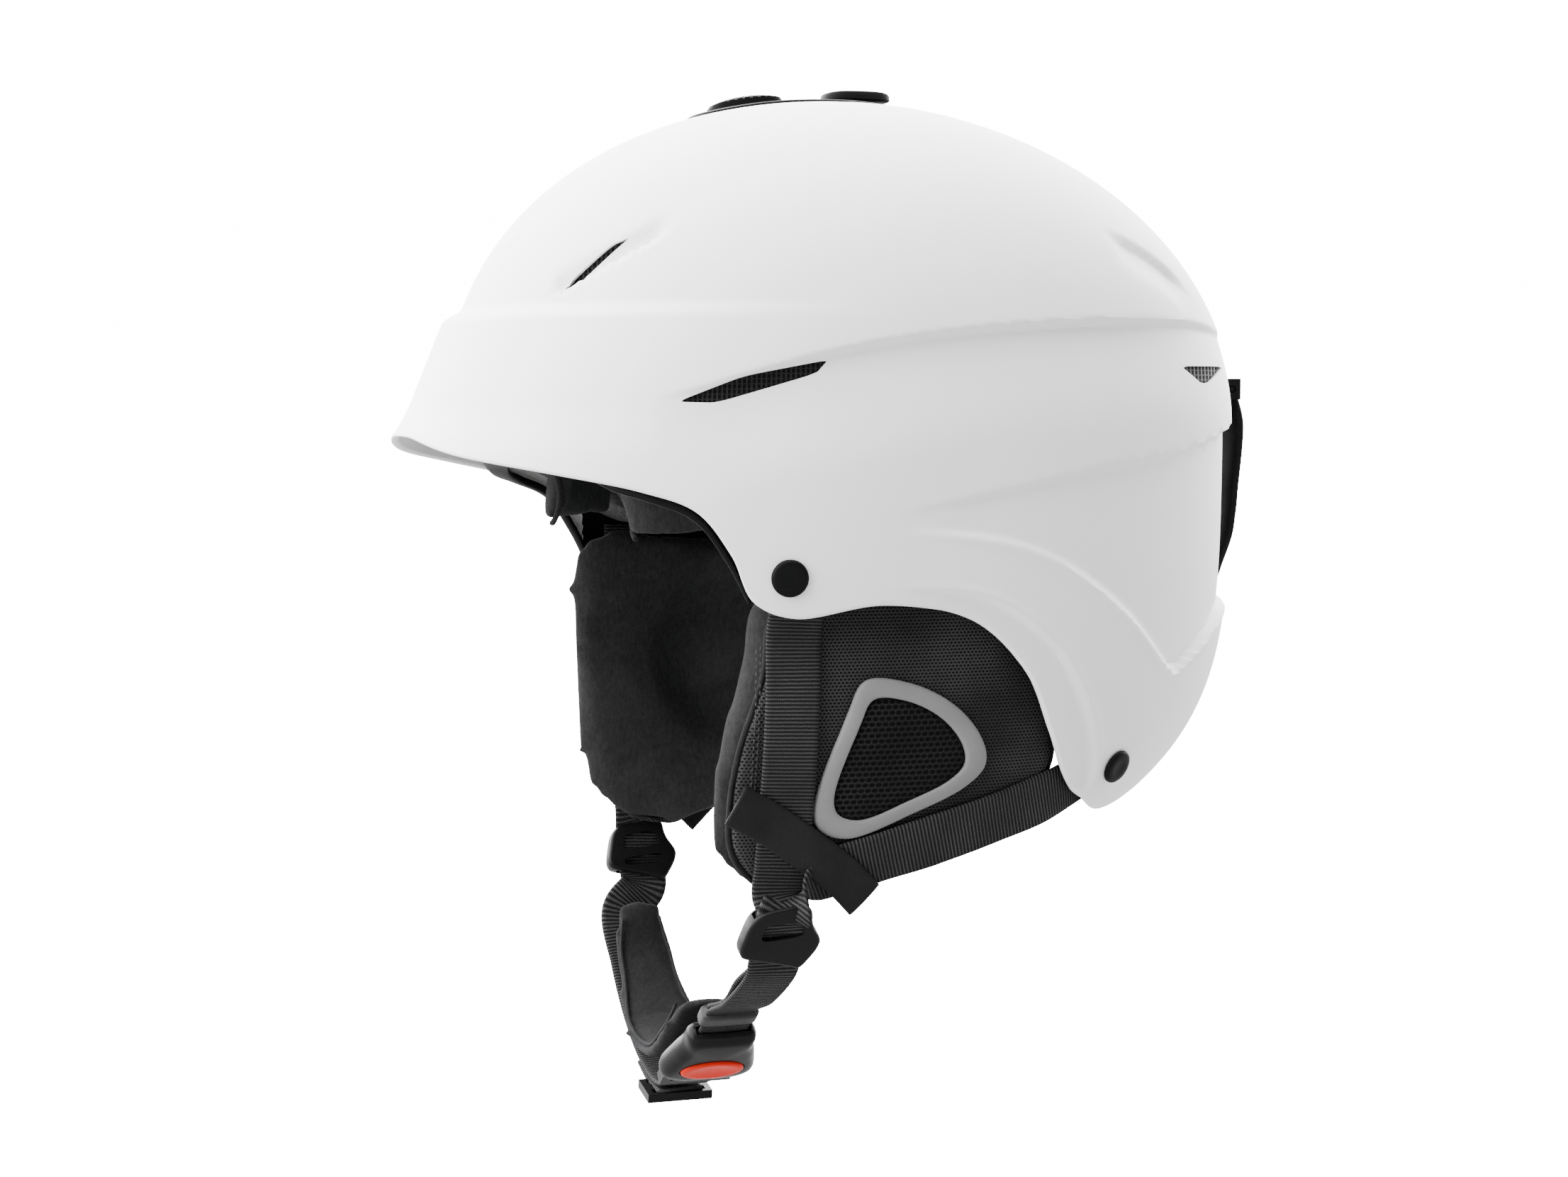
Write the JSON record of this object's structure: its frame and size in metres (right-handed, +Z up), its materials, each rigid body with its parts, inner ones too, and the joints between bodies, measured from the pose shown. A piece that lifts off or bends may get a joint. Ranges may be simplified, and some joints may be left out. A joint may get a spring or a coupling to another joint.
{
  "type": "ski helmet",
  "caption": "Hard-shell ski helmet with soft ear pads, sliding crown vent, goggle clip, dial-adjusted headband and a chin strap with a push-button buckle.",
  "frame": {"origin": "midway between the centres of the two ear pads, where the wearer's ears are", "axes": "+Z up to the crown, -Y to the front, +X to the wearer's left"},
  "size_m": [0.2176, 0.281, 0.3309],
  "materials": {
    "shell": "satin white hard shell",
    "foam": "fine beaded impact foam",
    "plush": "short brushed pile",
    "ear_fabric": "knitted spacer mesh",
    "vent_mesh": "open grid",
    "black_plastic": "fine moulded grain",
    "grey_trim": "soft satin",
    "webbing": "ribbed woven webbing",
    "smooth_tape": "smooth woven tape",
    "buckle_plastic": "polished moulded",
    "button": "satin orange-red"
  },
  "bodies": {
    "helmet": {"outer_shell": "shell", "foam_liner": "foam", "liner_edge_trim": "black_plastic", "brow_pad": "plush", "nape_pad": "plush", "side_pad_left": "plush", "side_pad_right": "plush", "crown_pad": "plush", "side_vent_mesh_left": "vent_mesh", "side_vent_mesh_right": "vent_mesh", "rear_vent_mesh_left": "vent_mesh", "rear_vent_mesh_right": "vent_mesh", "front_vent_mesh_left": "vent_mesh", "front_vent_mesh_right": "vent_mesh", "crown_vent_frame": "black_plastic", "goggle_clip_lug_left": "black_plastic", "goggle_clip_lug_right": "black_plastic", "goggle_clip_snap": "black_plastic", "ear_pad_left": "plush", "ear_pad_right": "plush", "ear_cover_left": "ear_fabric", "ear_cover_right": "ear_fabric", "ear_ring_left": "grey_trim", "ear_ring_right": "grey_trim", "ear_mesh_left": "ear_fabric", "ear_mesh_right": "ear_fabric", "front_strap_left": "webbing", "front_strap_right": "webbing", "rear_strap_left": "webbing", "rear_strap_right": "webbing", "pad_loop_left": "smooth_tape", "pad_loop_right": "smooth_tape", "front_rivet_left": "black_plastic", "front_rivet_right": "black_plastic", "rear_rivet_left": "black_plastic", "rear_rivet_right": "black_plastic", "strap_divider_left": "buckle_plastic", "strap_divider_right": "buckle_plastic", "chin_strap_left": "webbing", "buckle_housing": "buckle_plastic", "fit_housing": "black_plastic"},
    "vent_slider": {"vent_slider": "black_plastic", "vent_shutter": "black_plastic"},
    "goggle_clip": {"goggle_clip": "black_plastic"},
    "buckle_button": {"buckle_button": "button"},
    "chin_release": {"buckle_tongue": "buckle_plastic", "strap_glide": "buckle_plastic", "chin_strap_right": "webbing", "chin_pad": "plush"},
    "fit_dial": {"fit_dial": "black_plastic", "fit_pinion": "black_plastic"},
    "fit_band_left": {"fit_band_left": "black_plastic"},
    "fit_band_right": {"fit_band_right": "black_plastic"}
  },
  "joints": [
    {"name": "vent_slide", "type": "slide", "parent": "helmet", "child": "vent_slider", "axis": [0, -1, 0], "range_m": [0, 0.01]},
    {"name": "goggle_clip_hinge", "type": "hinge", "parent": "helmet", "child": "goggle_clip", "pos_m": [0, 0.13725, 0.1053], "axis": [1, 0, 0], "range_deg": [0, 75]},
    {"name": "button_press", "type": "slide", "parent": "helmet", "child": "buckle_button", "axis": [-0.6107, 0, 0.7918], "range_m": [0, 0.002], "stiffness_N_per_m": 300, "springref_m": -0.001},
    {"name": "tongue_release", "type": "slide", "parent": "helmet", "child": "chin_release", "axis": [-0.7918, 0, -0.6107], "range_m": [0, 0.024]},
    {"name": "fit_dial_turn", "type": "hinge", "parent": "helmet", "child": "fit_dial", "pos_m": [0, 0.1005, -0.008], "axis": [0, -1, 0], "range_deg": [0, 74.4]},
    {"name": "fit_band_left_slide", "type": "slide", "parent": "helmet", "child": "fit_band_left", "axis": [-1, 0, 0], "range_m": [0, 0.0079]},
    {"name": "fit_band_right_slide", "type": "slide", "parent": "helmet", "child": "fit_band_right", "axis": [1, 0, 0], "range_m": [0, 0.0079]}
  ],
  "couplings": [
    {"joint": "fit_band_left_slide", "follows": "fit_dial_turn", "m_per_rad": 0.006},
    {"joint": "fit_band_right_slide", "follows": "fit_dial_turn", "m_per_rad": 0.006}
  ]
}
